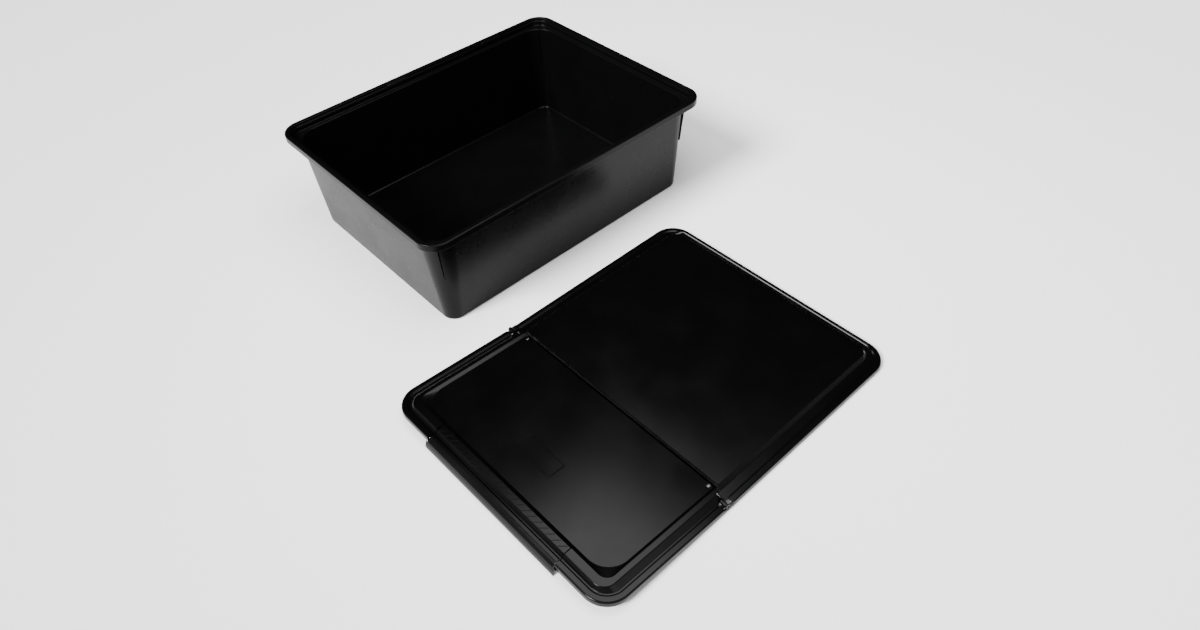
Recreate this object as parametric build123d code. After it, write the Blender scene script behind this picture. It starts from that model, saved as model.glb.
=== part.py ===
from build123d import *
import math
import os

# Open storage tub with a separate two-leaf folding lid, all in black plastic.
# Millimetres. Origin: centre of the tub's base. +X along the tub towards the
# rear, +Y across it, +Z up. The lid lies on the floor beside the tub, with its
# front leaf propped up a little by the latch lip.

os.makedirs("parts", exist_ok=True)

# ---------------------------------------------------------------- tub sizes
TUB_HEIGHT = 128.0
RIM_LENGTH = 400.0
RIM_WIDTH = 303.0
RIM_RADIUS = 23.5
RIM_SKIRT = 8.2            # height of the rim's outer skirt
RIM_EDGE = 1.4             # rounding of the rim's upper outer edge
SKIRT_WALL = 2.2
BASE_LENGTH = 361.6
BASE_WIDTH = 263.6
BASE_RADIUS = 15.0         # corner radius of the walls at the base
TOP_RADIUS = 29.0          # the same at the rim
BASE_EDGE = 3.6            # rounding between floor and walls, outside
WALL = 2.8
DRAFT = 4.25               # slope of the walls, degrees from upright
LIP_TOP = 5.8              # width of the rim's flat top
SEAT_DEPTH = 2.9           # shallow seat inside the rim, below its top
LEDGE_INSET = 8.3          # lower ledge: inset of its wall
LEDGE_DEPTH = 8.5
CORE_INSET = 4.0           # where the solid part of the rim begins
SHOULDER = 7.2
INNER_EDGE = 3.0           # rounding between floor and walls, inside

FIN_BOTTOM = 65.6          # height where the corner stacking fins end
FIN_THICKNESS = 2.0
FIN_DEPTH = (1.8, 3.6)     # how far a fin stands out at its bottom and top
PLEAT_WIDTH = 1.3          # groove inside the tub, behind each fin
PLEAT_DEPTH = 1.5

CATCH_LENGTH = 34.0        # snap beads inside the rim of the long sides
CATCH_CENTRES = (-37.5, 110.0)
TICK_CENTRES = (-124.0, 0.0, 124.0)
TICK_SIZE = (1.4, 2.2, 1.6)

# ---------------------------------------------------------------- lid sizes
LID_LENGTH = 407.0
LID_WIDTH = 309.6
LID_RADIUS = 26.6
LID_RIM = 6.6              # height of the lid's outer rim
LID_EDGE = 2.1             # rounding of the rim's upper outer edge
LID_SEAT = 4.4             # underside of the rim, which rests on the tub's rim
LID_WALL = 2.0
GROOVE_OUTER = 6.0         # inset of the shallow groove inside the rim
GROOVE_INNER = 7.6
GROOVE_FLOOR = 5.7
SEAT_INSET = 11.0          # the flat underside reaches in this far

# Outlines up each leaf, each as side inset, height, end inset and corner radius.
BAND_FOOT = (9.0, 5.7, 8.8, 17.6)
BAND_TOP = (14.6, 9.8, 11.6, 13.0)
RING = (19.4, 10.4, 19.4, 10.0)
STEP_TOP = (19.6, 10.41, 19.6, 10.0)
PANEL = (22.6, 8.8, 23.4, 24.0)
REAR_FOOT = (9.0, 5.7, 3.5, 12.0)
REAR_BAND = (16.0, 7.0, 4.5, 10.0)
REAR_SLOPE = (17.9, 9.8, 9.5, 7.0)
PLATEAU = (19.8, 12.2, 17.0, 4.0)

# Outlines of the hollow underneath, each with the same four values.
FRONT_UNDER = (17.0, 6.9, 14.4, 9.0)
SEAT = (SEAT_INSET, LID_SEAT, SEAT_INSET, 15.6)
REAR_UNDER = (17.6, 5.4, 11.6, 8.0)
REAR_ROOF = (21.4, 10.2, 17.5, 4.0)
REAR_WALL = -44.3          # front edge of the rear panel, in lid coordinates
PANEL_BACK = -47.1         # rear edge of the front panel
PANEL_FLANGE = 6.2         # lower edge of its turned-down rear flange
PANEL_HALF = 138.2         # half width of that rear edge

# Place of the lid on the floor beside the tub.
LID_X = -91.5
LID_Y = -341.5

# ---------------------------------------------------------------- hinge
HINGE_X = -52.5            # fold axis, in lid coordinates
HINGE_Z = 6.7
KNUCKLE = 2.2
PIN_RADIUS = 1.0
PIN_FIT = 0.05             # running clearance around the pin
EAR_OUTER = (152.6, 154.4)
BARREL = (148.5, 152.3)
EAR_INNER = (146.4, 148.2)
REAR_RIM_END = -45.0       # the rear leaf's rim stops here
FRONT_RIM_END = -57.5      # the front leaf's rim stops here
REAR_BAND_END = -48.4
SKIRT_SPAN = (152.8, 154.8)   # the skirt carries on below the knuckles
REAR_SKIRT = (-52.2, -44.5)
FRONT_SKIRT = (-58.0, -52.9)
FRONT_SKIRT_TOP = 4.2
SLOT = (4.2, 3.0)          # slots in the front panel's rear edge
SLOT_Y = 128.0

# ---------------------------------------------------------------- latch
LATCH_HALF = 91.0          # half width of the latch strip
SLIT = 1.2
LATCH_LIP_HALF = 93.2
LATCH_ROOT = 183.9         # distance of the flex line in front of the centre
LATCH_GAP = 0.35
STRIP_TOP = 10.3           # height of the strip at the flex line
LATCH_DROP = 7.4           # how far the lip hangs below the lid's skirt
LATCH_WALL = 2.2
LATCH_OUT = 3.1            # how far the lip stands out from the lid's front
HOOK_REACH = 5.6
HOOK_HEIGHT = 2.4
RIB_COUNT = 22
RIB_PITCH = 8.1
RIB_LENGTH = 9.0
RIB_WIDTH = 0.9
RIB_HEIGHT = 0.45

# ---------------------------------------------------------------- label panel
LABEL_SIZE = (21.0, 51.0)
LABEL_CENTRE = (-140.2, 2.0)
LABEL_BORDER = 1.2
LABEL_HEIGHT = 0.5


def slab(length, width, radius, bottom, top, x=0.0, y=0.0):
    """A rounded rectangle, length along X, raised between two heights."""
    outline = Pos(x, y, bottom) * RectangleRounded(length, width, radius)
    return extrude(outline, top - bottom)


def block(x_range, y_range, z_range):
    """A plain box given by its limits."""
    size = [b - a for a, b in (x_range, y_range, z_range)]
    middle = [(a + b) / 2 for a, b in (x_range, y_range, z_range)]
    return Pos(*middle) * Box(*size)


def rod(y_range, radius, x=HINGE_X, z=HINGE_Z):
    """A round bar along Y."""
    length = y_range[1] - y_range[0]
    place = Pos(x, (y_range[0] + y_range[1]) / 2, z) * Rot(90, 0, 0)
    return place * Cylinder(radius, length)


# ================================================================ tub
def wall_outline(inset, height):
    """Outline of the walls at a height, moved in by inset."""
    spread = 2 * height * math.tan(math.radians(DRAFT))
    radius = BASE_RADIUS + (TOP_RADIUS - BASE_RADIUS) * height / TUB_HEIGHT
    return Pos(0, 0, height) * RectangleRounded(
        BASE_LENGTH + spread - 2 * inset, BASE_WIDTH + spread - 2 * inset, radius - inset
    )


def wall_shape(inset, bottom, top):
    """The tub's walls as a solid, from one height to another."""
    return loft([wall_outline(inset, bottom), wall_outline(inset, top)], ruled=True)


def rim_slab(inset, bottom, top):
    """Upright slab inside the rim's outline."""
    return slab(RIM_LENGTH - 2 * inset, RIM_WIDTH - 2 * inset, RIM_RADIUS - inset,
                bottom, top)


def rim_ring():
    """The downturned rim: flat top, hanging skirt, and an open channel under it."""
    skirt_bottom = TUB_HEIGHT - RIM_SKIRT
    ring = rim_slab(0, skirt_bottom, TUB_HEIGHT)
    ring = fillet(ring.faces().sort_by(Axis.Z)[-1].edges(), RIM_EDGE)
    channel = rim_slab(SKIRT_WALL, skirt_bottom, TUB_HEIGHT - SKIRT_WALL)
    core = rim_slab(CORE_INSET, skirt_bottom, TUB_HEIGHT - SKIRT_WALL)
    return ring - (channel - core)


def rim_shoulder():
    """Sloping shoulder that carries the rim on the walls."""
    outline = Pos(0, 0, TUB_HEIGHT - RIM_SKIRT) * RectangleRounded(
        RIM_LENGTH - 2 * CORE_INSET, RIM_WIDTH - 2 * CORE_INSET, RIM_RADIUS - CORE_INSET
    )
    return extrude(outline, -SHOULDER, taper=45)


def rim_steps():
    """The space of the seat and the ledge inside the rim."""
    lip = rim_slab(LIP_TOP, TUB_HEIGHT - SEAT_DEPTH, TUB_HEIGHT + 1)
    return lip + rim_slab(LEDGE_INSET, TUB_HEIGHT - LEDGE_DEPTH, TUB_HEIGHT)


def corner_place(side_x, side_y, height, inset=0.0):
    """The outermost point of a wall corner on its diagonal, at a height."""
    spread = height * math.tan(math.radians(DRAFT))
    radius = BASE_RADIUS + (TOP_RADIUS - BASE_RADIUS) * height / TUB_HEIGHT
    reach = radius * (1 - math.sqrt(0.5)) + inset * math.sqrt(0.5)
    x = BASE_LENGTH / 2 + spread - reach
    y = BASE_WIDTH / 2 + spread - reach
    return side_x * x, side_y * y


def corner_fin(side_x, side_y, depth_low, depth_high, thickness, top):
    """Upright fin on a corner's diagonal, standing out from the wall."""
    angle = math.degrees(math.atan2(side_y, side_x))
    low = corner_place(side_x, side_y, FIN_BOTTOM)
    high = corner_place(side_x, side_y, top)
    run = math.hypot(high[0], high[1]) - math.hypot(low[0], low[1])
    root = 1.8
    profile = Polyline(
        (-root, FIN_BOTTOM),
        (depth_low, FIN_BOTTOM),
        (run + depth_high, top),
        (run - root, top),
        close=True,
    )
    plane = Plane(origin=(low[0], low[1], 0), x_dir=(side_x, side_y, 0),
                  z_dir=(side_y, -side_x, 0))
    face = plane * make_face(profile)
    return extrude(face, thickness / 2, both=True)


def snap_bead(centre_x, side):
    """Long low bead under the rim's inner edge that the lid snaps past."""
    y = side * (RIM_WIDTH / 2 - LIP_TOP)
    z = TUB_HEIGHT - 1.5
    bar = Pos(centre_x, y, z) * Rot(0, 90, 0) * Cylinder(0.9, CATCH_LENGTH)
    return bar


def make_tub():
    rim_base = TUB_HEIGHT - LEDGE_DEPTH
    walls = wall_shape(0, 0, rim_base)
    walls = fillet(walls.faces().sort_by(Axis.Z)[0].edges(), BASE_EDGE)
    hollow = wall_shape(WALL, WALL, rim_base + 0.5)
    hollow = fillet(hollow.faces().sort_by(Axis.Z)[0].edges(), INNER_EDGE)
    tub = walls + rim_shoulder() + rim_ring()
    for side_x in (-1, 1):
        for side_y in (-1, 1):
            tub += corner_fin(side_x, side_y, *FIN_DEPTH, FIN_THICKNESS,
                              TUB_HEIGHT - RIM_SKIRT - 2)
    tub -= hollow
    tub -= rim_steps()
    for side_x in (-1, 1):
        for side_y in (-1, 1):
            tub -= corner_fin(side_x, side_y, PLEAT_DEPTH - WALL, PLEAT_DEPTH - WALL,
                              PLEAT_WIDTH, rim_base + 1)
    for side in (-1, 1):
        for centre_x in CATCH_CENTRES:
            tub += snap_bead(centre_x, side)
        for centre_x in TICK_CENTRES:
            y = side * (RIM_WIDTH / 2 - LEDGE_INSET - 5.0)
            tub -= Pos(centre_x, y, rim_base) * Box(*TICK_SIZE)
    return tub


# ================================================================ lid
def lid_outline(inset, height, end_inset=None, radius=None):
    """Rounded rectangle inside the lid's outline, at a height."""
    end = inset if end_inset is None else end_inset
    corner = max(LID_RADIUS - inset, 3.0) if radius is None else radius
    length = LID_LENGTH - 2 * end
    return Pos(0, 0, height) * RectangleRounded(length, LID_WIDTH - 2 * inset, corner)


def lid_slab(inset, bottom, top):
    """Upright slab inside the lid's outline."""
    return extrude(lid_outline(inset, bottom), top - bottom)


def rise(lower, upper):
    """Straight sloping sides between two outlines."""
    return loft([lower, upper], ruled=True)


def stack(outlines):
    """Solid built up through several outlines, lowest first."""
    solid = rise(lid_outline(*outlines[0]), lid_outline(*outlines[1]))
    for lower, upper in zip(outlines[1:-1], outlines[2:]):
        solid += rise(lid_outline(*lower), lid_outline(*upper))
    return solid


def lid_rim():
    """Outer rim with the shallow groove inside it."""
    rim = lid_slab(0, 0, LID_RIM)
    rim = fillet(rim.faces().sort_by(Axis.Z)[-1].edges(), LID_EDGE)
    return rim - rise(lid_outline(GROOVE_INNER, GROOVE_FLOOR),
                      lid_outline(GROOVE_OUTER, LID_RIM + 0.01))


def under_rim():
    """Space inside the lid's skirt, up to the seat."""
    return lid_slab(LID_WALL, -1, LID_SEAT)


def rear_blank():
    """Rear leaf at full length: low band, then a wall up to the panel."""
    solid = lid_rim() + stack([REAR_FOOT, REAR_BAND, REAR_SLOPE, PLATEAU])
    return solid - under_rim() - stack([SEAT, REAR_UNDER, REAR_ROOF])


def front_blank():
    """Front leaf at full length: band, ring, then a slope down to the panel."""
    solid = lid_rim() + stack([BAND_FOOT, BAND_TOP, RING])
    solid -= rise(lid_outline(*PANEL), lid_outline(*STEP_TOP))
    return solid - under_rim() - stack([SEAT, FRONT_UNDER])


def side_span(span, side):
    """A span of Y on the chosen side, lowest value first."""
    return tuple(sorted((side * span[0], side * span[1])))


def make_rear_leaf():
    leaf = rear_blank()
    far = LID_LENGTH
    wide = LID_WIDTH
    inner = PANEL_HALF + 0.5
    # The raised panel ends in an upright wall along the hinge gap.
    leaf += block((REAR_WALL, REAR_WALL + LID_WALL), (-inner + 2, inner - 2),
                  (LID_SEAT - 1.4, REAR_BAND[1]))
    leaf += block((REAR_WALL, REAR_WALL + LID_WALL), (-134.6, 134.6),
                  (LID_SEAT - 1.4, PLATEAU[1] - 1))
    leaf -= block((-far, REAR_WALL), (-inner, inner), (-5, 30))
    leaf -= block((-far, REAR_BAND_END), (-wide, wide), (-5, 30))
    for side in (-1, 1):
        rim = side_span((EAR_INNER[0] - 0.3, wide), side)
        leaf -= block((-far, REAR_RIM_END), rim, (-5, 30))
        for ear in (EAR_OUTER, EAR_INNER):
            span = side_span(ear, side)
            leaf += rod(span, KNUCKLE)
            leaf += block((HINGE_X, REAR_RIM_END + 0.5), span,
                          (HINGE_Z - KNUCKLE, LID_RIM))
        leaf -= rod(side_span((EAR_INNER[0] - 1, EAR_OUTER[1] - 0.5), side), PIN_RADIUS)
        leaf += block(REAR_SKIRT, side_span(SKIRT_SPAN, side), (0, HINGE_Z - KNUCKLE))
    return leaf


def make_front_leaf():
    leaf = front_blank()
    far = LID_LENGTH
    wide = LID_WIDTH
    leaf += block((PANEL_BACK - LID_WALL, PANEL_BACK), (-133.4, 133.4),
                  (PANEL_FLANGE, PANEL[1] - 0.5))
    leaf -= block((PANEL_BACK, far), (-wide, wide), (-5, 30))
    for side in (-1, 1):
        # The frame band ends in a round nose about the fold axis.
        leaf -= block((HINGE_X, far), side_span((PANEL_HALF, wide), side), (-5, 30))
        leaf += rod(side_span((PANEL_HALF - 1, EAR_INNER[0] - 0.3), side), KNUCKLE)
        rim = side_span((EAR_INNER[0] - 0.3, wide), side)
        leaf -= block((FRONT_RIM_END, far), rim, (-5, 30))
        barrel = side_span(BARREL, side)
        leaf += rod(barrel, KNUCKLE)
        leaf += block((FRONT_RIM_END - 0.5, HINGE_X), barrel,
                      (HINGE_Z - KNUCKLE, LID_RIM))
        leaf -= rod(barrel, PIN_RADIUS + PIN_FIT)
        leaf += block(FRONT_SKIRT, side_span(SKIRT_SPAN, side), (0, FRONT_SKIRT_TOP))
        leaf -= Pos(PANEL_BACK - SLOT[0] / 2, side * SLOT_Y, PANEL[1]) * Box(
            SLOT[0] + 0.02, SLOT[1], 12)
    # Opening for the latch, with a slit at each end.
    gap = LATCH_HALF + SLIT
    leaf -= block((-far, -LATCH_ROOT), (-gap, gap), (-5, 30))
    return leaf + label_border()


def label_border():
    """Plain raised border where a label can go."""
    x, y = LABEL_CENTRE
    outer = slab(*LABEL_SIZE, 1.5, PANEL[1] - 0.2, PANEL[1] + LABEL_HEIGHT, x, y)
    return outer - slab(LABEL_SIZE[0] - 2 * LABEL_BORDER,
                        LABEL_SIZE[1] - 2 * LABEL_BORDER, 0.8, PANEL[1] - 1, PANEL[1] + 2,
                        x, y)


# ================================================================ latch
def latch_profile():
    """Side view of the latch: strip, groove, rim and hanging lip with its hook."""
    front = -LID_LENGTH / 2
    root = -LATCH_ROOT - LATCH_GAP
    out = front - LATCH_OUT
    bottom = -LATCH_DROP
    inside = out + LATCH_WALL
    return [
        (root, STRIP_TOP),
        (front + BAND_TOP[2], BAND_TOP[1] - 0.2),
        (front + BAND_FOOT[2], BAND_FOOT[1]),
        (front + GROOVE_INNER, GROOVE_FLOOR),
        (front + GROOVE_OUTER, LID_RIM),
        (front + 3.0, LID_RIM - 0.4),
        (front + 0.8, LID_RIM - 2.0),
        (front - 1.2, LID_RIM - 4.8),
        (front - 2.4, -1.4),
        (out, -4.4),
        (out, bottom + 0.8),
        (out + 0.8, bottom),
        (inside + HOOK_REACH - 0.8, bottom),
        (inside + HOOK_REACH, bottom + 0.8),
        (inside + HOOK_REACH - 0.6, bottom + HOOK_HEIGHT),
        (inside, bottom + HOOK_HEIGHT + 0.2),
        (inside + 0.5, -1.6),
        (front + 0.9, 1.4),
        (front + 2.2, LID_SEAT - 1.0),
        (front + 4.0, LID_SEAT),
        (front + SEAT_INSET, LID_SEAT),
        (root, STRIP_TOP - LATCH_WALL),
    ]


def prism(points, half_width):
    """A side view drawn in X and Z, drawn out both ways along Y."""
    outline = Polyline(*points, close=True)
    plane = Plane(origin=(0, 0, 0), x_dir=(1, 0, 0), z_dir=(0, -1, 0))
    return extrude(plane * make_face(outline), half_width, both=True)


def grip_rib(index):
    """One low slanting rib on top of the latch strip."""
    y = RIB_PITCH * (index - (RIB_COUNT - 1) / 2)
    start_x = -LID_LENGTH / 2 + BAND_TOP[2]
    start_z = BAND_TOP[1] - 0.2
    end_x = -LATCH_ROOT - LATCH_GAP
    tilt = math.degrees(math.atan2(STRIP_TOP - start_z, end_x - start_x))
    middle = Pos((start_x + end_x) / 2, y, (STRIP_TOP + start_z) / 2)
    place = middle * Rot(0, -tilt, 0) * Rot(0, 0, -45)
    return place * Box(RIB_LENGTH, RIB_WIDTH, 2 * RIB_HEIGHT)


def make_latch():
    points = latch_profile()
    strip = prism(points, LATCH_HALF)
    front = -LID_LENGTH / 2
    lip = prism(points, LATCH_LIP_HALF) & block(
        (front - 10, front - 0.35), (-200, 200), (-20, 30))
    latch = strip + lip
    for index in range(RIB_COUNT):
        latch += grip_rib(index)
    return latch


def make_pin(side):
    pin = rod(side_span((EAR_INNER[0], EAR_OUTER[1] - 0.5), side), PIN_RADIUS)
    return chamfer(pin.edges(), 0.2)


# ================================================================ placing
def front_tilt():
    """Angle that rests the latch lip on the floor, in degrees."""
    hook_tip = LATCH_OUT - LATCH_WALL - HOOK_REACH + 0.8
    reach = HINGE_X + LID_LENGTH / 2 + hook_tip
    drop = HINGE_Z + LATCH_DROP
    span = math.hypot(reach, drop)
    return math.degrees(math.atan2(drop, reach) - math.asin(HINGE_Z / span))


def on_floor(shape):
    """Puts a lid piece in its place on the floor."""
    return Pos(LID_X, LID_Y, 0) * shape


def tilted(shape):
    """Turns a front piece about the fold axis by the resting angle."""
    turn = Pos(HINGE_X, 0, HINGE_Z) * Rot(0, front_tilt(), 0) * Pos(-HINGE_X, 0, -HINGE_Z)
    return turn * shape


pieces = {
    "tub": make_tub(),
    "rear_lid_leaf": on_floor(make_rear_leaf()),
    "front_lid_leaf": on_floor(tilted(make_front_leaf())),
    "front_latch": on_floor(tilted(make_latch())),
    "left_hinge_pin": on_floor(tilted(make_pin(1))),
    "right_hinge_pin": on_floor(tilted(make_pin(-1))),
}

for name, shape in pieces.items():
    solids = shape.solids()
    box = shape.bounding_box()
    print(name, len(solids), "solids", round(sum(s.volume for s in solids)),
          [round(v, 2) for v in (*box.min, *box.max)])
    if len(solids) != 1:
        raise ValueError(f"{name} is {len(solids)} separate solids, not one")
    export_step(solids[0], f"parts/{name}.step")
print("front tilt", round(front_tilt(), 3), "degrees")
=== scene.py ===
import math
import bmesh
import bpy
from mathutils import Matrix, Vector


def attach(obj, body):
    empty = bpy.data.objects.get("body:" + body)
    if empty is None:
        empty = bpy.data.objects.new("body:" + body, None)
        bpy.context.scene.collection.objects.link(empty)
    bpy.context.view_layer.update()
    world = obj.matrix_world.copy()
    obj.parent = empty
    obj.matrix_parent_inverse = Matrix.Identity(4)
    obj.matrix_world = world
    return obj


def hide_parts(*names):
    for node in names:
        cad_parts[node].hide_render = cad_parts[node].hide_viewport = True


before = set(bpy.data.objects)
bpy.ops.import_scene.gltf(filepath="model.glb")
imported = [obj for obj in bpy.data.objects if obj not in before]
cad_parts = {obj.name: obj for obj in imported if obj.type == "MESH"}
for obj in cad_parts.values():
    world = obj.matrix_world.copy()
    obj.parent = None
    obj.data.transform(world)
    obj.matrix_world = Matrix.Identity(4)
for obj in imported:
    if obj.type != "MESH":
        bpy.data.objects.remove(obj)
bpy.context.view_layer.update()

MM = 0.001

# ------------------------------------------------------------------ fineness of the meshes
CORNER_STEPS = 20
SIDE_STEPS = 8
FILLET_STEPS = 4
TUBE_STEPS = 32
NOSE_STEPS = 16
BEAD_STEPS = 24
BEAD_SIDES = 6
SHARP_ANGLE = math.radians(38)
MOST_OF_SIDE = 0.48        # a rounding takes at most this share of a side
LEAST_CORNER = 0.05

# ------------------------------------------------------------------ tub, millimetres
TUB_TOP = 128.0
BASE_HALF = (180.8, 131.8)
BASE_RADIUS = 15.0
RADIUS_GAIN = 14.0         # growth of the walls' corner radius from base to top
DRAFT = math.radians(4.25)
WALL = 2.8
FLOOR_TOP = 3.0
RIM_HALF = (200.0, 151.5)
RIM_RADIUS = 23.5
RIM_WALL = 2.2
CORE_INSET = 4.0
SKIRT_BOTTOM = 119.8
SHOULDER_FOOT = 113.0
CHANNEL_TOP = 125.8
SEAT_LEVEL = 125.1
LEDGE_LEVEL = 119.5

FIN_BOTTOM = 65.6
FIN_TOP = 118.6
FIN_ROOT = -1.8            # depths are measured outwards from the wall
FIN_DEPTH = (1.8, 3.7)
FIN_HALF = 1.0
PLEAT_TOP = 121.0
PLEAT_ROOT = -4.6
PLEAT_DEPTH = (-1.3, -1.3)
PLEAT_HALF = 0.65

TICK_CENTRES = (-124.0, 0.0, 124.0)
TICK_Y = 138.2
TICK_HALF = (0.7, 1.1)
TICK_LEVELS = (118.7, 120.3)
BEAD_CENTRES = (-37.5, 110.0)
BEAD_HALF = 17.0
BEAD_FOOT = (146.0, 125.9)     # Y and Z of the bead's middle
BEAD_SWELL = (1.9, 0.9)

# ------------------------------------------------------------------ lid, millimetres
LID_PLACE = (-91.5, -341.5, 0.0)
LID_HALF = (203.5, 154.8)
LID_RADIUS = 26.6
LEAST_RADIUS = 2.0
RIM_TOP = 6.6
FAR = 260.0                # beyond either end of the lid
WIDE = 200.0               # beyond either side of it

HINGE = (-52.5, 6.7)       # X and Z of the fold axis
KNUCKLE = 2.2
PIN_RADIUS = 1.0
PIN_HOLE = 1.05
ARM_STOP = 1.5             # bars to the knuckles stop this far from the fold axis
BARREL = (148.5, 152.3)
EARS = ((152.6, 154.4), (146.4, 148.2))
SKIRT_SPAN = (152.8, 154.8)
RIM_START = 146.1          # the hinge's gap in the rim starts here
FRONT_TILT = math.radians(2.877)

PANEL_HALF = 138.2
PANEL_BACK = -47.1
PANEL_LEVEL = 8.8
REAR_WALL_X = (-44.2, -42.3)
REAR_WALL_FOOT = 3.0
REAR_WALLS = ((133.6, 11.6), (136.6, 6.9))     # half width and top of each step
REAR_WALL_CUT = -44.3
REAR_BAND_END = -48.4
REAR_RIM_END = -45.0
REAR_EAR_END = -44.6
REAR_SKIRT_START = -52.2
REAR_SKIRT_TOP = 4.5
FRONT_RIM_END = -57.5
FRONT_ARM_START = -58.0
FRONT_SKIRT_X = (-57.8, -52.9)
FRONT_SKIRT_TOP = 4.2
SLOT_Y = 128.0
SLOT_HALF = 1.5
SLOT_X = (-51.3, -40.0)
SLOT_Z = (5.0, 20.0)
FLANGE_X = (-49.1, -47.2)
FLANGE_Z = (6.2, 8.3)
FLANGE_END = 132.6
FLANGE_GAP = SLOT_HALF + 0.1

# Rows up the lid: side inset, height, end inset, corner radius, rounding.
RIM_PROFILE = [(2.0, 0.0, 2.0, None, 0.4), (0.0, 0.0, 0.0, None, 0.4),
               (0.0, RIM_TOP, 0.0, None, 2.1), (6.0, RIM_TOP, 6.0, None, 0.7)]
FRONT_PROFILE = [(7.4, 5.7, 7.4, None, 0.5), (9.0, 5.7, 8.8, 17.6, 0.5),
                 (14.6, 9.8, 11.6, 13.0, 1.2), (19.4, 10.4, 19.4, 10.0, 0.5),
                 (22.6, PANEL_LEVEL, 23.4, 24.0, 0.4), (28.0, PANEL_LEVEL, 28.0, 20.0, 0)]
FRONT_UNDER = [(28.0, 6.9, 28.0, 20.0, 0), (17.0, 6.9, 14.4, 9.0, 0.5),
               (11.0, 4.4, 11.0, 15.6, 0.4), (2.0, 4.4, 2.0, None, 0.5)]
REAR_PROFILE = [(7.4, 5.7, 7.4, None, 0.5), (9.0, 5.7, 9.0, 17.6, 0.5),
                (16.0, 7.0, 16.0, 10.0, 0.8), (19.8, 12.2, 19.8, 4.0, 1.1),
                (27.0, 12.2, 27.0, 3.0, 0)]
REAR_UNDER = [(27.0, 10.2, 27.0, 3.0, 0), (21.4, 10.2, 21.4, 4.0, 0.5),
              (17.6, 5.4, 17.6, 8.0, 0.5), (11.0, 4.4, 11.0, 15.6, 0.4),
              (2.0, 4.4, 2.0, None, 0.5)]

# The rear end's slope: inset from the end, and height.
REAR_END = [(3.9, 6.6), (4.5, 7.0), (9.5, 10.0), (17.0, 12.0), (21.0, 12.2)]
SLOPE_START = 150.0        # only points past this X belong to the rear end
SLOPE_LOWEST = 5.6         # and only points above this height are on top
SLOPE_MARGIN = 14.0        # no slope this close to a side; it fades in over the same width

LABEL_CENTRE = Vector((-140.2, 2.0, 0.0))
LABEL_HALF = (10.5, 25.5)
# Around the border's section: inset, corner radius, height.
LABEL_SECTION = ((0.0, 1.5, 8.6), (0.0, 1.5, 8.75), (0.6, 1.3, 9.6),
                 (1.1, 0.9, 9.6), (1.7, 0.8, 8.75), (1.7, 0.8, 8.6))

# ------------------------------------------------------------------ latch, millimetres
LATCH_OPENING = 92.2
LATCH_CUT = -183.9
LATCH_ROOT = -184.25
LATCH_HALF = 91.0
LIP_HALF = 93.2
LIP_OVERLAP = 0.1
LIP_START = 0.35           # the wider lip starts this far in front of the lid
STRIP_TOP = 10.3
STRIP_FRONT = (11.6, 9.6)  # inset and height of the strip's front edge
RIB_COUNT = 22
RIB_PITCH = 8.1
RIB_HALF_LENGTH = 4.4
RIB_SECTION = [(-0.5, -0.3), (0.5, -0.3), (0.45, 0.1), (0.2, 0.42), (-0.2, 0.42), (-0.45, 0.1)]
RIB_SLANT = math.radians(-45)


# ------------------------------------------------------------------ mesh helpers
def new_object(name, data):
    obj = bpy.data.objects.new(name, data)
    bpy.context.scene.collection.objects.link(obj)
    return obj


def mesh_object(name, bm):
    """Turns a finished bmesh into an object with its faces pointing outwards."""
    bmesh.ops.recalc_face_normals(bm, faces=bm.faces)
    mesh = bpy.data.meshes.new(name)
    bm.to_mesh(mesh)
    bm.free()
    return new_object(name, mesh)


def skin(bm, loops, closed=False):
    """Four-sided faces between neighbouring loops of the same length."""
    count = len(loops[0])
    following = loops[1:] + loops[:1] if closed else loops[1:]
    for a, b in zip(loops, following):
        for i in range(count):
            j = (i + 1) % count
            bm.faces.new((a[i], a[j], b[j], b[i]))


def rounded(profile):
    """Profile points are (..., fillet); returns them without the fillet, corners rounded."""
    out = []
    last = len(profile) - 1
    for i, p in enumerate(profile):
        here = Vector(p[:-1])
        radius = p[-1]
        if radius <= 0 or i == 0 or i == last:
            out.append(here)
            continue
        before = Vector(profile[i - 1][:-1])
        after = Vector(profile[i + 1][:-1])
        a = Vector((before[0] - here[0], before[-1] - here[-1]))
        b = Vector((after[0] - here[0], after[-1] - here[-1]))
        turn = math.pi - a.angle(b)
        reach = radius * math.tan(turn / 2)
        start = here.lerp(before, min(reach / a.length, MOST_OF_SIDE))
        end = here.lerp(after, min(reach / b.length, MOST_OF_SIDE))
        for k in range(FILLET_STEPS + 1):
            t = k / FILLET_STEPS
            out.append(start * (1 - t) ** 2 + here * (2 * t * (1 - t)) + end * t ** 2)
    return out


def closed_rounded(points):
    """Rounds every corner of a closed outline in X and Z."""
    wrapped = [points[-1], *points, points[0]]
    out = []
    for i in range(1, len(wrapped) - 1):
        out.extend(rounded([wrapped[i - 1], wrapped[i], wrapped[i + 1]])[1:-1])
    return out


def ring_points(hx, hy, radius, z):
    """A rounded rectangle, with points along its straight sides too."""
    radius = max(radius, LEAST_CORNER)
    points = []
    corners = ((1, 1, 0.0), (-1, 1, 90.0), (-1, -1, 180.0), (1, -1, 270.0))
    for index, (sx, sy, start) in enumerate(corners):
        cx, cy = sx * (hx - radius), sy * (hy - radius)
        for k in range(CORNER_STEPS + 1):
            angle = math.radians(start + 90.0 * k / CORNER_STEPS)
            points.append(Vector((cx + radius * math.cos(angle),
                                  cy + radius * math.sin(angle), z)))
        nx, ny, _ = corners[(index + 1) % 4]
        last = points[-1].copy()
        following = Vector((nx * (hx - radius) + radius * math.cos(angle),
                            ny * (hy - radius) + radius * math.sin(angle), z))
        for k in range(1, SIDE_STEPS):
            points.append(last.lerp(following, k / SIDE_STEPS))
    return points


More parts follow.
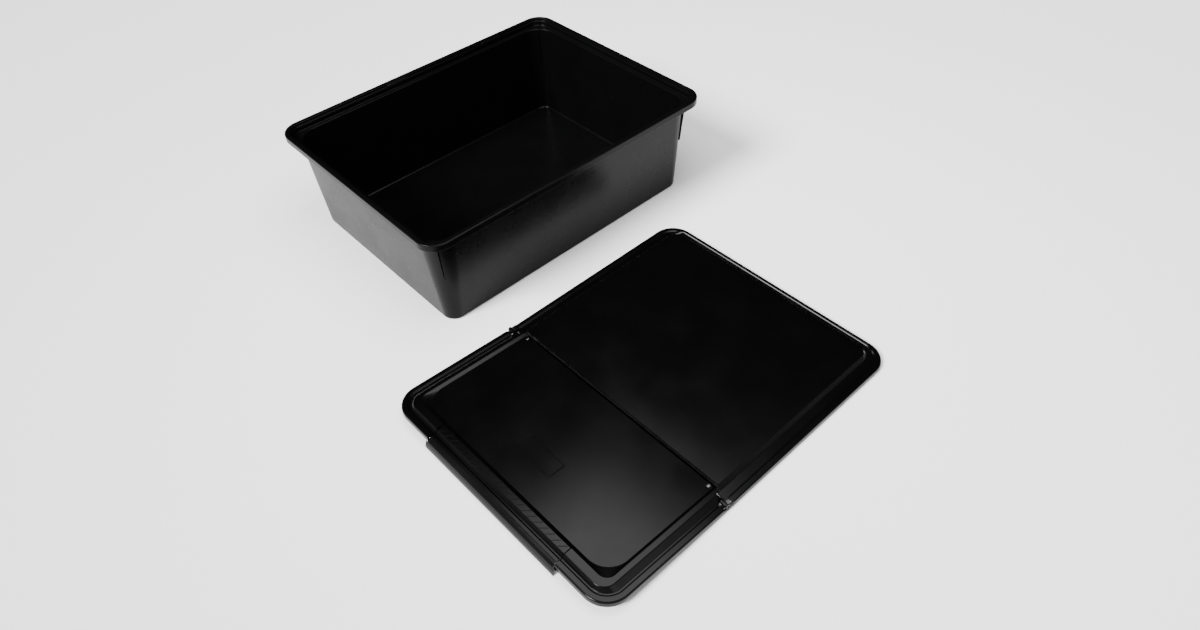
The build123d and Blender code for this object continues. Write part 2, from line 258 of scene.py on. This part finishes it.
def ring_solid(name, profile):
    """Closed solid through rounded rectangles (half x, half y, radius, z, fillet)."""
    bm = bmesh.new()
    rings = [[bm.verts.new(v * MM) for v in ring_points(*p)] for p in rounded(profile)]
    skin(bm, rings)
    bm.faces.new(list(reversed(rings[0])))
    bm.faces.new(rings[-1])
    return mesh_object(name, bm)


def prism(name, outline, span):
    """Side view in X and Z, drawn out along Y."""
    bm = bmesh.new()
    near = [bm.verts.new(Vector((x, span[0], z)) * MM) for x, z in outline]
    far = [bm.verts.new(Vector((x, span[1], z)) * MM) for x, z in outline]
    bm.faces.new(near)
    bm.faces.new(list(reversed(far)))
    for i in range(len(outline)):
        j = (i + 1) % len(outline)
        bm.faces.new((near[j], near[i], far[i], far[j]))
    return mesh_object(name, bm)


def box_object(name, x, y, z):
    """A plain box given by its limits."""
    outline = [(x[0], z[0]), (x[1], z[0]), (x[1], z[1]), (x[0], z[1])]
    return prism(name, outline, y)


def arc(centre, radius, start, end, steps):
    """Points of an arc in X and Z, angles in degrees."""
    result = []
    for k in range(steps + 1):
        angle = math.radians(start + (end - start) * k / steps)
        result.append((centre[0] + radius * math.cos(angle),
                       centre[1] + radius * math.sin(angle)))
    return result


def tube(name, span, outer, inner):
    """A short tube about the fold axis."""
    bm = bmesh.new()
    loops = []
    for y, radius in ((span[0], outer), (span[1], outer), (span[1], inner), (span[0], inner)):
        loops.append([bm.verts.new(Vector((x, y, z)) * MM)
                      for x, z in arc(HINGE, radius, 0, 360, TUBE_STEPS)[:-1]])
    skin(bm, loops, closed=True)
    return mesh_object(name, bm)


def cut_out(target, others):
    """Cuts the others out of the target and removes them."""
    for other in others:
        cut = target.modifiers.new("cut", "BOOLEAN")
        cut.operation = "DIFFERENCE"
        cut.solver = "EXACT"
        cut.object = other
    bpy.context.view_layer.update()
    evaluated = target.evaluated_get(bpy.context.evaluated_depsgraph_get())
    mesh = bpy.data.meshes.new_from_object(evaluated)
    target.modifiers.clear()
    target.data = mesh
    for other in others:
        bpy.data.objects.remove(other, do_unlink=True)


def gather(target, others):
    """Adds the others' surfaces to the target's mesh and removes them."""
    bm = bmesh.new()
    bm.from_mesh(target.data)
    for other in others:
        bm.from_mesh(other.data)
    bm.to_mesh(target.data)
    bm.free()
    for other in others:
        bpy.data.objects.remove(other, do_unlink=True)


def shade_evenly(obj):
    """Smooth shading that stays sharp at real edges."""
    obj.data.shade_smooth()
    obj.data.set_sharp_from_angle(angle=SHARP_ANGLE)
    even = obj.modifiers.new("even shading", "WEIGHTED_NORMAL")
    even.keep_sharp = True
    return obj


def both(low, high):
    """The same span of Y on the right and on the left."""
    return ((low, high), (-high, -low))


# ------------------------------------------------------------------ tub
def wall_at(z):
    """Growth and corner radius of the drafted walls at a height."""
    return z * math.tan(DRAFT), BASE_RADIUS + RADIUS_GAIN * z / TUB_TOP


def wall_row(inset, z):
    grow, radius = wall_at(z)
    return BASE_HALF[0] + grow - inset, BASE_HALF[1] + grow - inset, radius - inset, z


def rim_row(inset, z):
    return RIM_HALF[0] - inset, RIM_HALF[1] - inset, RIM_RADIUS - inset, z


def tub_shell():
    """Walls, floor and folded rim, drawn as one closed section round the tub."""
    return ring_solid("tub_shell", [
        (*wall_row(12.0, 0.0), 0),
        (*wall_row(0.0, 0.0), 3.6),
        (*wall_row(0.0, SHOULDER_FOOT), 1.5),
        (*rim_row(CORE_INSET, SKIRT_BOTTOM), 0.6),
        (*rim_row(CORE_INSET, CHANNEL_TOP), 0.6),
        (*rim_row(RIM_WALL, CHANNEL_TOP), 0.6),
        (*rim_row(RIM_WALL, SKIRT_BOTTOM), 0.6),
        (*rim_row(0.0, SKIRT_BOTTOM), 0.7),
        (*rim_row(0.0, TUB_TOP), 1.5),
        (*rim_row(5.8, TUB_TOP), 0.7),
        (*rim_row(6.0, SEAT_LEVEL), 0.5),
        (*rim_row(8.3, SEAT_LEVEL), 0.6),
        (*rim_row(8.5, LEDGE_LEVEL), 0.9),
        (*wall_row(WALL, LEDGE_LEVEL), 1.0),
        (*wall_row(WALL, FLOOR_TOP), 3.0),
        (*wall_row(16.0, FLOOR_TOP), 0),
    ])


def make_tub():
    tub = tub_shell()
    cuts = []
    additions = []
    for sx in (-1, 1):
        for sy in (-1, 1):
            additions.append(corner_plate(sx, sy, FIN_ROOT, FIN_DEPTH, FIN_HALF,
                                          (FIN_BOTTOM, FIN_TOP)))
            cuts.append(corner_plate(sx, sy, PLEAT_ROOT, PLEAT_DEPTH, PLEAT_HALF,
                                     (FIN_BOTTOM, PLEAT_TOP)))
    for side in (-1, 1):
        for x in TICK_CENTRES:
            y = side * TICK_Y
            cuts.append(box_object("tick", (x - TICK_HALF[0], x + TICK_HALF[0]),
                                   (y - TICK_HALF[1], y + TICK_HALF[1]), TICK_LEVELS))
        for x in BEAD_CENTRES:
            additions.append(snap_bead(x, side))
    cut_out(tub, cuts)
    gather(tub, additions)
    return tub


def corner_plate(sx, sy, inner, outer, half, levels):
    """Upright plate on a corner's diagonal; outer is its depth at the bottom and top."""
    out_dir = Vector((sx, sy, 0)).normalized()
    side_dir = Vector((sy, -sx, 0)).normalized()
    corners = []
    for z, depth in zip(levels, outer):
        grow, radius = wall_at(z)
        back = radius * (1 - math.sqrt(0.5))
        base = Vector((sx * (BASE_HALF[0] + grow - back), sy * (BASE_HALF[1] + grow - back), z))
        for d in (inner, depth):
            for s in (-half, half):
                corners.append(base + out_dir * d + side_dir * s)
    bm = bmesh.new()
    v = [bm.verts.new(c * MM) for c in corners]
    sides = ((0, 1, 3, 2), (4, 6, 7, 5), (0, 4, 5, 1), (2, 3, 7, 6), (0, 2, 6, 4), (1, 5, 7, 3))
    for side in sides:
        bm.faces.new([v[i] for i in side])
    return mesh_object("corner_plate", bm)


def snap_bead(x, side):
    """Low rounded bead on the rim's inner step, its ends tapered into the wall."""
    bm = bmesh.new()
    rows = []
    for i in range(BEAD_STEPS + 1):
        t = -1 + 2 * i / BEAD_STEPS
        size = max(1 - abs(t) ** 8, 0.0) ** 0.5
        row = []
        for k in range(BEAD_SIDES + 1):
            angle = math.radians(-90 + 180 * k / BEAD_SIDES)
            y = BEAD_FOOT[0] - BEAD_SWELL[0] * size * math.cos(angle)
            z = BEAD_FOOT[1] + BEAD_SWELL[1] * size * math.sin(angle)
            row.append(bm.verts.new(Vector((x + BEAD_HALF * t, side * y, z)) * MM))
        rows.append(row)
    skin(bm, rows)
    bmesh.ops.remove_doubles(bm, verts=bm.verts, dist=1e-7)
    return mesh_object("snap_bead", bm)


# ------------------------------------------------------------------ lid
def lid_row(inset, z, end, radius, fillet):
    radius = LID_RADIUS - inset if radius is None else radius
    return LID_HALF[0] - end, LID_HALF[1] - inset, max(radius, LEAST_RADIUS), z, fillet


def lid_body(name, top, under):
    """The whole lid with one leaf's section, before it is cut to that leaf."""
    return ring_solid(name, [lid_row(*row) for row in (*under, *RIM_PROFILE, *top)])


def end_slope(obj, rows):
    """Draws the rear end out into one smooth slope by lifting its points."""
    nearest, furthest = rows[0][0], rows[-1][0]
    for v in obj.data.vertices:
        x, y, z = (c / MM for c in v.co)
        inset = LID_HALF[0] - x
        if x < SLOPE_START or z < SLOPE_LOWEST or inset < nearest or inset > furthest:
            continue
        share = (LID_HALF[1] - abs(y) - SLOPE_MARGIN) / SLOPE_MARGIN
        share = min(max(share, 0.0), 1.0)
        share = share * share * (3 - 2 * share)
        for (d0, z0), (d1, z1) in zip(rows, rows[1:]):
            if d0 <= inset <= d1:
                target = z0 + (z1 - z0) * (inset - d0) / (d1 - d0)
                v.co.z += share * (target - z) * MM
                break


def cut_box(x, y, z=(-20.0, 40.0)):
    return box_object("cut", x, y, z)


def make_rear_leaf():
    leaf = lid_body("rear_leaf_shell", REAR_PROFILE, REAR_UNDER)
    end_slope(leaf, REAR_END)
    inner = PANEL_HALF + 0.5
    cuts = [cut_box((-FAR, REAR_WALL_CUT), (-inner, inner)),
            cut_box((-FAR, REAR_BAND_END), (-WIDE, WIDE))]
    for span in both(RIM_START, WIDE):
        cuts.append(cut_box((-FAR, REAR_RIM_END), span))
    cut_out(leaf, cuts)
    extra = [box_object("wall", REAR_WALL_X, (-half, half), (REAR_WALL_FOOT, top))
             for half, top in REAR_WALLS]
    for ear in EARS:
        for span in both(*ear):
            extra.append(tube("ear", span, KNUCKLE, PIN_RADIUS))
            extra.append(box_object("ear", (HINGE[0] + ARM_STOP, REAR_EAR_END), span,
                                    (HINGE[1] - KNUCKLE, RIM_TOP)))
    for span in both(*SKIRT_SPAN):
        extra.append(box_object("skirt", (REAR_SKIRT_START, REAR_EAR_END), span,
                                (0.0, REAR_SKIRT_TOP)))
    gather(leaf, extra)
    return leaf


def make_front_leaf():
    leaf = lid_body("front_leaf_shell", FRONT_PROFILE, FRONT_UNDER)
    cuts = [cut_box((PANEL_BACK, FAR), (-WIDE, WIDE)),
            cut_box((-FAR, LATCH_CUT), (-LATCH_OPENING, LATCH_OPENING))]
    for span in both(PANEL_HALF, WIDE):
        cuts.append(cut_box((HINGE[0], FAR), span))
    for span in both(RIM_START, WIDE):
        cuts.append(cut_box((FRONT_RIM_END, FAR), span))
    for y in (-SLOT_Y, SLOT_Y):
        cuts.append(cut_box(SLOT_X, (y - SLOT_HALF, y + SLOT_HALF), SLOT_Z))
    cut_out(leaf, cuts)
    # The flange along the rear edge is left open at the two slots.
    middle = SLOT_Y - FLANGE_GAP
    extra = [box_object("flange", FLANGE_X, (-middle, middle), FLANGE_Z)]
    for span in both(SLOT_Y + FLANGE_GAP, FLANGE_END):
        extra.append(box_object("flange", FLANGE_X, span, FLANGE_Z))
    for span in both(PANEL_HALF - 1, RIM_START):
        extra.append(prism("nose", arc(HINGE, KNUCKLE, -90, 90, NOSE_STEPS), span))
    for span in both(*BARREL):
        extra.append(tube("barrel", span, KNUCKLE, PIN_HOLE))
        extra.append(box_object("arm", (FRONT_ARM_START, HINGE[0] - ARM_STOP), span,
                                (HINGE[1] - KNUCKLE, RIM_TOP)))
    for span in both(*SKIRT_SPAN):
        extra.append(box_object("skirt", FRONT_SKIRT_X, span, (0.0, FRONT_SKIRT_TOP)))
    extra.append(label_border())
    gather(leaf, extra)
    return leaf


def label_border():
    """Plain raised border where a label can go."""
    bm = bmesh.new()
    loops = []
    for inset, radius, z in LABEL_SECTION:
        points = ring_points(LABEL_HALF[0] - inset, LABEL_HALF[1] - inset, radius, z)
        loops.append([bm.verts.new((p + LABEL_CENTRE) * MM) for p in points])
    skin(bm, loops, closed=True)
    return mesh_object("label_border", bm)


# ------------------------------------------------------------------ latch
def latch_outline(front):
    """Side view: strip, groove, rim, hanging lip and hook; each point with its rounding."""
    return closed_rounded([
        (LATCH_ROOT, STRIP_TOP, 0.3), (front + STRIP_FRONT[0], STRIP_FRONT[1], 1.2),
        (front + 8.8, 5.7, 0.5), (front + 7.6, 5.7, 0.4),
        (front + 6.0, RIM_TOP, 0.7), (front + 3.0, 6.2, 1.5), (front + 0.8, 4.6, 2.0),
        (front - 1.2, 1.8, 3.0), (front - 2.4, -1.4, 3.0), (front - 3.1, -4.4, 3.0),
        (front - 3.1, -7.4, 0.8), (front + 4.7, -7.4, 0.6), (front + 4.1, -5.0, 0.5),
        (front - 0.9, -4.8, 0.5), (front - 0.4, -1.6, 2.0), (front + 0.9, 1.4, 2.0),
        (front + 2.2, 3.4, 1.0), (front + 4.0, 4.4, 0.8), (front + 11.0, 4.4, 0.6),
        (LATCH_ROOT, 8.1, 0.3),
    ])


def make_latch():
    front = -LID_HALF[0]
    outline = [(p[0], p[-1]) for p in latch_outline(front)]
    latch = prism("latch_strip", outline, (-LATCH_HALF, LATCH_HALF))
    lip = [p for p in outline if p[0] <= front - LIP_START]
    extra = [prism("lip_end", lip, span) for span in both(LATCH_HALF - LIP_OVERLAP, LIP_HALF)]
    rib_front = front + STRIP_FRONT[0]
    slope = math.atan2(STRIP_TOP - STRIP_FRONT[1], LATCH_ROOT - rib_front)
    for i in range(RIB_COUNT):
        y = RIB_PITCH * (i - (RIB_COUNT - 1) / 2)
        middle = ((LATCH_ROOT + rib_front) / 2, y, (STRIP_TOP + STRIP_FRONT[1]) / 2)
        extra.append(grip_rib(middle, slope))
    gather(latch, extra)
    return latch


def grip_rib(place, slope):
    """One slanting rib: a long low bar with a rounded top."""
    bm = bmesh.new()
    ends = [[bm.verts.new((x, y, z)) for y, z in RIB_SECTION]
            for x in (-RIB_HALF_LENGTH, RIB_HALF_LENGTH)]
    bm.faces.new(ends[0])
    bm.faces.new(ends[1][::-1])
    for i in range(len(RIB_SECTION)):
        j = (i + 1) % len(RIB_SECTION)
        bm.faces.new((ends[0][i], ends[1][i], ends[1][j], ends[0][j]))
    turn = Matrix.Rotation(-slope, 4, "Y") @ Matrix.Rotation(RIB_SLANT, 4, "Z")
    for v in bm.verts:
        v.co = (turn @ v.co + Vector(place)) * MM
    return mesh_object("grip_rib", bm)


# ------------------------------------------------------------------ materials
RUBBED_COLOUR = (0.004, 0.004, 0.0043, 1.0)
RUBBED_ROUGHNESS = 0.12
GRAIN_DEPTH = 0.0002       # metres
EDGE_WIDTH = 0.0006


def noise(tree, where, scale, detail):
    node = tree.nodes.new("ShaderNodeTexNoise")
    node.inputs["Scale"].default_value = scale
    node.inputs["Detail"].default_value = detail
    tree.links.new(where.outputs["Object"], node.inputs["Vector"])
    return node.outputs["Fac"]


def remap(tree, value, source, target=(0.0, 1.0)):
    node = tree.nodes.new("ShaderNodeMapRange")
    node.inputs["From Min"].default_value = source[0]
    node.inputs["From Max"].default_value = source[1]
    node.inputs["To Min"].default_value = target[0]
    node.inputs["To Max"].default_value = target[1]
    tree.links.new(value, node.inputs["Value"])
    return node.outputs["Result"]


def edge_wear(tree, where):
    """One where an edge is rubbed and nought elsewhere, broken up by noise."""
    geometry = tree.nodes.new("ShaderNodeNewGeometry")
    bevel = tree.nodes.new("ShaderNodeBevel")
    bevel.samples = 4
    bevel.inputs["Radius"].default_value = EDGE_WIDTH
    alike = tree.nodes.new("ShaderNodeVectorMath")
    alike.operation = "DOT_PRODUCT"
    tree.links.new(bevel.outputs["Normal"], alike.inputs[0])
    tree.links.new(geometry.outputs["Normal"], alike.inputs[1])
    wear = tree.nodes.new("ShaderNodeMath")
    wear.operation = "MULTIPLY"
    tree.links.new(remap(tree, alike.outputs["Value"], (0.97, 0.75)), wear.inputs[0])
    scuff = noise(tree, where, 140.0, 5.0)
    tree.links.new(remap(tree, scuff, (0.45, 0.65)), wear.inputs[1])
    return wear.outputs["Value"]


def plastic(name, colour, rough, grain, specular):
    """Moulded black plastic: fine grain, faint flow marks, edges rubbed paler and rougher."""
    mat = bpy.data.materials.new(name)
    mat.use_nodes = True
    tree = mat.node_tree
    shader = tree.nodes["Principled BSDF"]
    shader.inputs["Specular IOR Level"].default_value = specular
    where = tree.nodes.new("ShaderNodeTexCoord")
    cloud = noise(tree, where, 22.0, 4.0)
    speck = noise(tree, where, 900.0, 2.0)
    wear = edge_wear(tree, where)

    tint = tree.nodes.new("ShaderNodeMix")
    tint.data_type = "RGBA"
    tint.inputs["A"].default_value = (*colour, 1.0)
    tint.inputs["B"].default_value = (*(c * 1.5 for c in colour), 1.0)
    tree.links.new(cloud, tint.inputs["Factor"])
    rubbed = tree.nodes.new("ShaderNodeMix")
    rubbed.data_type = "RGBA"
    rubbed.inputs["B"].default_value = RUBBED_COLOUR
    tree.links.new(wear, rubbed.inputs["Factor"])
    tree.links.new(tint.outputs["Result"], rubbed.inputs["A"])
    tree.links.new(rubbed.outputs["Result"], shader.inputs["Base Color"])

    worn_rough = tree.nodes.new("ShaderNodeMath")
    worn_rough.operation = "MULTIPLY_ADD"
    worn_rough.inputs[1].default_value = RUBBED_ROUGHNESS
    tree.links.new(wear, worn_rough.inputs[0])
    flow_rough = remap(tree, cloud, (0.3, 0.7), (rough - 0.03, rough + 0.04))
    tree.links.new(flow_rough, worn_rough.inputs[2])
    tree.links.new(worn_rough.outputs["Value"], shader.inputs["Roughness"])

    bump = tree.nodes.new("ShaderNodeBump")
    bump.inputs["Strength"].default_value = grain
    bump.inputs["Distance"].default_value = GRAIN_DEPTH
    tree.links.new(speck, bump.inputs["Height"])
    tree.links.new(bump.outputs["Normal"], shader.inputs["Normal"])
    return mat


TUB_PLASTIC = plastic("tub_plastic", (0.0012, 0.0012, 0.0013), 0.27, 0.035, 0.085)
LID_PLASTIC = plastic("lid_plastic", (0.0008, 0.0008, 0.0009), 0.21, 0.03, 0.12)
PIN_PLASTIC = plastic("pin_plastic", (0.003, 0.003, 0.0032), 0.32, 0.03, 0.1)


# ------------------------------------------------------------------ put together
def place_on_floor(obj):
    obj.data.transform(Matrix.Translation(Vector(LID_PLACE) * MM))
    return obj


def place_tilted(obj):
    """Turns a front piece about the fold axis, then puts it on the floor."""
    pivot = Matrix.Translation(Vector((HINGE[0], 0, HINGE[1])) * MM)
    turn = pivot @ Matrix.Rotation(FRONT_TILT, 4, "Y") @ pivot.inverted()
    obj.data.transform(Matrix.Translation(Vector(LID_PLACE) * MM) @ turn)
    return obj


tub = shade_evenly(make_tub())
rear = shade_evenly(place_on_floor(make_rear_leaf()))
front = shade_evenly(place_tilted(make_front_leaf()))
latch = shade_evenly(place_tilted(make_latch()))

for obj, node, body, slot, material in (
    (tub, "tub", "tub", "tub_plastic", TUB_PLASTIC),
    (rear, "rear_lid_leaf", "rear_leaf", "lid_plastic", LID_PLASTIC),
    (front, "front_lid_leaf", "front_leaf", "lid_plastic", LID_PLASTIC),
    (latch, "front_latch", "latch", "lid_plastic", LID_PLASTIC),
):
    obj.data.materials.clear()
    obj.data.materials.append(material)
    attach(obj, body)
    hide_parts(node)

for node in ("left_hinge_pin", "right_hinge_pin"):
    for pin_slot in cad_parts[node].material_slots:
        pin_slot.material = PIN_PLASTIC

# ------------------------------------------------------------------ floor, metres
FLOOR_HALF = 6.0

floor_mesh = bpy.data.meshes.new("floor")
floor_corners = [(sx * FLOOR_HALF, sy * FLOOR_HALF, 0)
                 for sx, sy in ((-1, -1), (1, -1), (1, 1), (-1, 1))]
floor_mesh.from_pydata(floor_corners, [], [(0, 1, 2, 3)])
floor = new_object("floor", floor_mesh)
floor_mat = bpy.data.materials.new("floor")
floor_mat.use_nodes = True
floor_shader = floor_mat.node_tree.nodes["Principled BSDF"]
floor_shader.inputs["Base Color"].default_value = (0.9, 0.9, 0.9, 1)
floor_shader.inputs["Roughness"].default_value = 0.9
floor_shader.inputs["Specular IOR Level"].default_value = 0.1
floor.data.materials.append(floor_mat)

# ------------------------------------------------------------------ light
SKY_BRIGHT = Vector((-0.62, -0.35, 0.70)).normalized()
SKY_DARK = Vector((0.663, 0.557, 0.5)).normalized()
SUN_AIM = Vector((1.12, -0.12, -1.0))
SUN_STRENGTH = 9.0
SUN_SPREAD = math.radians(22.0)

world = bpy.data.worlds.new("studio")
world.use_nodes = True
sky_nodes, sky_links = world.node_tree.nodes, world.node_tree.links
direction = sky_nodes.new("ShaderNodeTexCoord")


def sky_part(toward, span, levels):
    """Brightness of the studio's walls by direction: a smooth step around one direction."""
    dot = sky_nodes.new("ShaderNodeVectorMath")
    dot.operation = "DOT_PRODUCT"
    dot.inputs[1].default_value = toward
    step = sky_nodes.new("ShaderNodeMapRange")
    step.interpolation_type = "SMOOTHSTEP"
    step.inputs["From Min"].default_value = span[0]
    step.inputs["From Max"].default_value = span[1]
    step.inputs["To Min"].default_value = levels[0]
    step.inputs["To Max"].default_value = levels[1]
    sky_links.new(direction.outputs["Generated"], dot.inputs[0])
    sky_links.new(dot.outputs["Value"], step.inputs["Value"])
    return step.outputs["Result"]


both_parts = sky_nodes.new("ShaderNodeMath")
both_parts.operation = "ADD"
sky_links.new(sky_part(SKY_BRIGHT, (0.1, 0.95), (0.0, 14.0)), both_parts.inputs[0])
sky_links.new(sky_part(SKY_DARK, (0.64, 0.88), (1.8, 0.01)), both_parts.inputs[1])
sky_links.new(both_parts.outputs["Value"], sky_nodes["Background"].inputs["Strength"])
bpy.context.scene.world = world


def aim(obj, toward):
    obj.rotation_euler = toward.to_track_quat("-Z", "Y").to_euler()


def area_light(name, place, target, size, brightness):
    """A rectangular light; brightness is per area, so its size doesn't change it."""
    data = bpy.data.lights.new(name, "AREA")
    data.shape = "RECTANGLE"
    data.size, data.size_y = size
    data.energy = brightness * data.size * data.size_y * math.pi
    obj = new_object(name, data)
    obj.location = place
    aim(obj, Vector(target) - Vector(place))


sun_data = bpy.data.lights.new("key", "SUN")
sun_data.energy = SUN_STRENGTH
sun_data.angle = SUN_SPREAD
aim(new_object("key", sun_data), SUN_AIM)

area_light("overhead", (0.005, -0.24, 0.85), (0.005, -0.24, 0), (0.56, 0.6), 8.0)
area_light("front fill", (0.1, -1.9, 0.75), (0, 0, 0.1), (1.2, 0.7), 3.0)

# ------------------------------------------------------------------ camera
CAMERA_PLACE = Vector((-0.49779, -0.73087, 0.67373))
YAW = math.radians(41.731)
PITCH = math.radians(45.451)
ROLL = math.radians(-2.174)
SENSOR_WIDTH = 36.0        # millimetres, like the lens
LENS = 25.7058

ahead = Vector((math.sin(YAW) * math.cos(PITCH),
                math.cos(YAW) * math.cos(PITCH),
                -math.sin(PITCH)))
level_right = Vector((math.cos(YAW), -math.sin(YAW), 0))
level_up = level_right.cross(ahead)
right = level_right * math.cos(ROLL) + level_up * math.sin(ROLL)
up = level_up * math.cos(ROLL) - level_right * math.sin(ROLL)
camera_data = bpy.data.cameras.new("camera")
camera_data.sensor_width = SENSOR_WIDTH
camera_data.lens = LENS
camera_data.clip_start = 0.01
camera = new_object("camera", camera_data)
turn = Matrix((right, up, -ahead)).transposed().to_4x4()
camera.matrix_world = Matrix.Translation(CAMERA_PLACE) @ turn
bpy.context.scene.camera = camera
